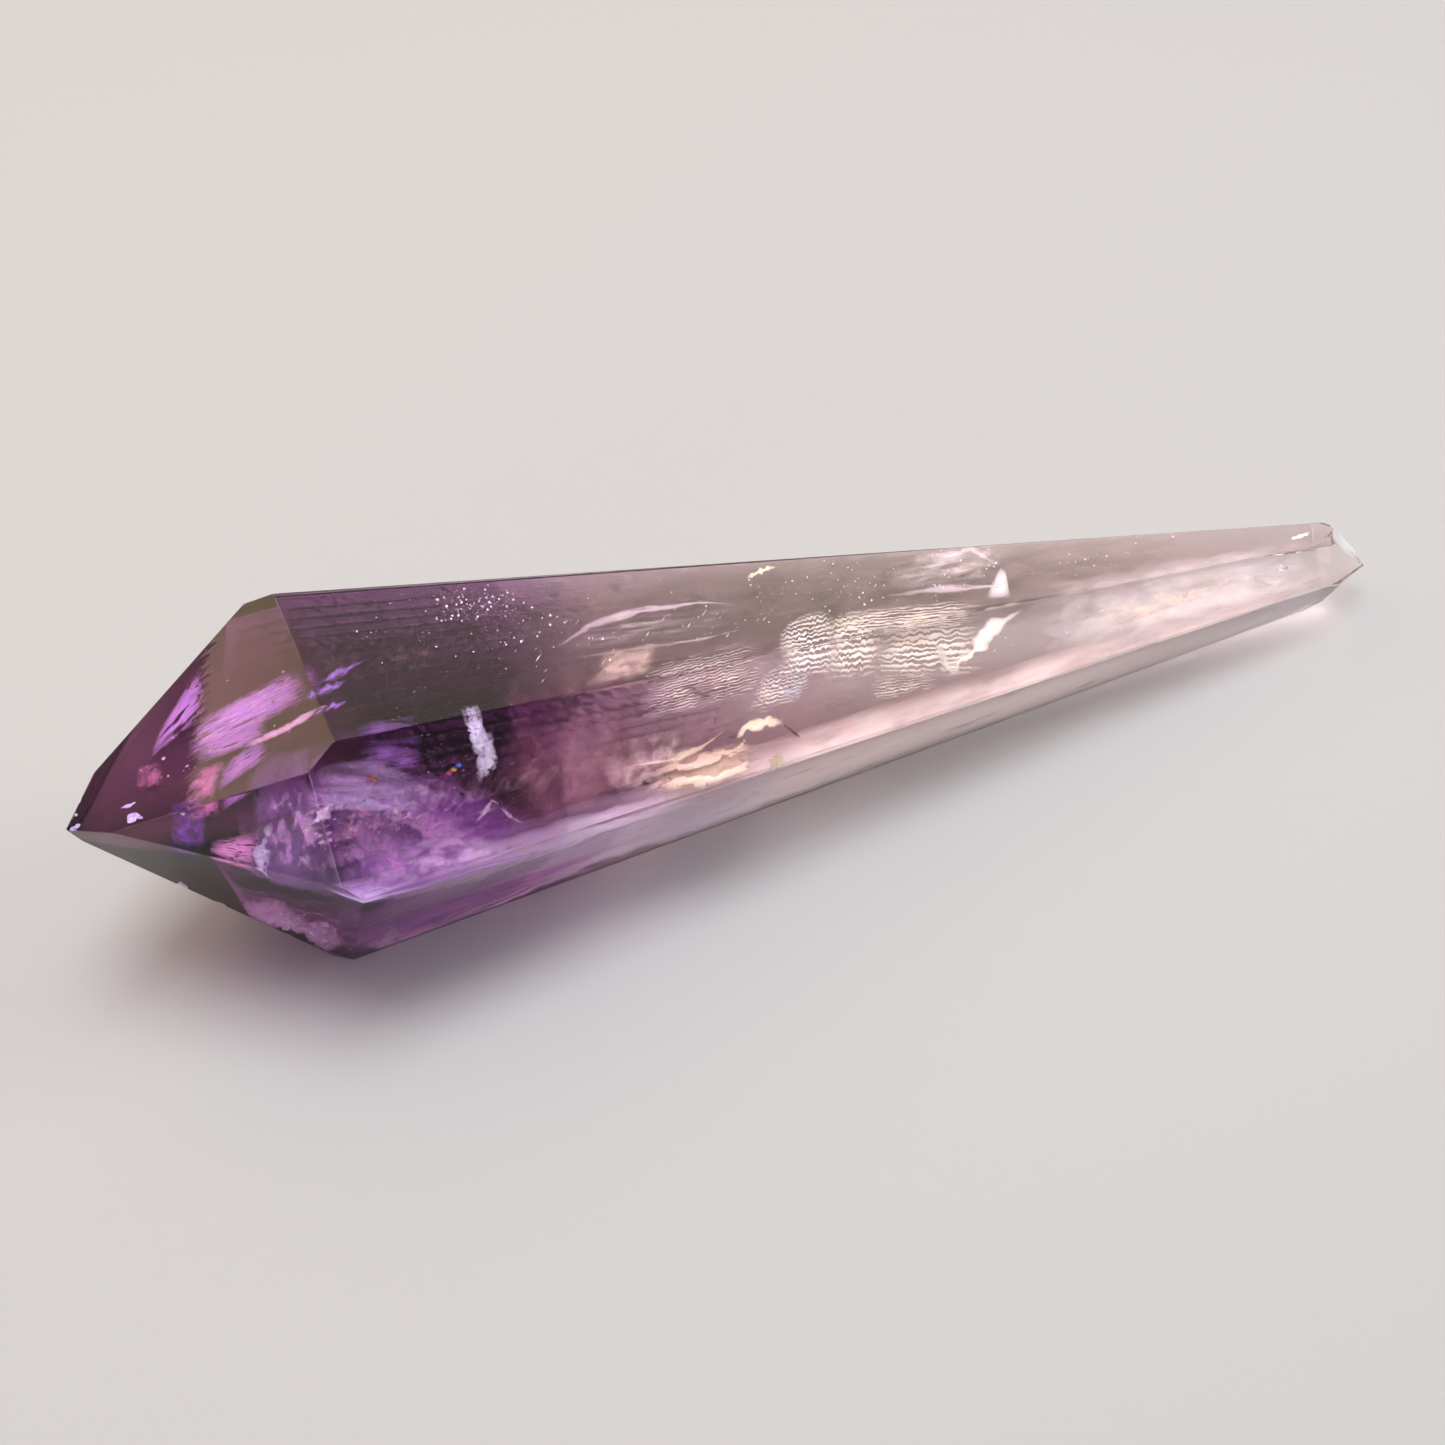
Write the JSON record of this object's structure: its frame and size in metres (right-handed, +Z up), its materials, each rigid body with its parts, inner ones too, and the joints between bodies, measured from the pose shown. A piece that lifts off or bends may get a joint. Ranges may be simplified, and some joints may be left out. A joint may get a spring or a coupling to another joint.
{
  "type": "polished crystal wand",
  "caption": "Tapered six-sided wand of polished amethyst, cut to a broad faceted point at one end and a slim worn point at the other.",
  "frame": {"origin": "under the middle of the stone's bounding box, at the height of the surface it lies on", "axes": "+X along the stone towards its slim point, +Z up, -Y towards the side seen in front"},
  "size_m": [0.1788, 0.0454, 0.0388],
  "materials": {
    "amethyst": "polished clear purple quartz with inner veils and fractures"
  },
  "bodies": {
    "root": {"amethyst_wand": "amethyst"}
  },
  "joints": []
}
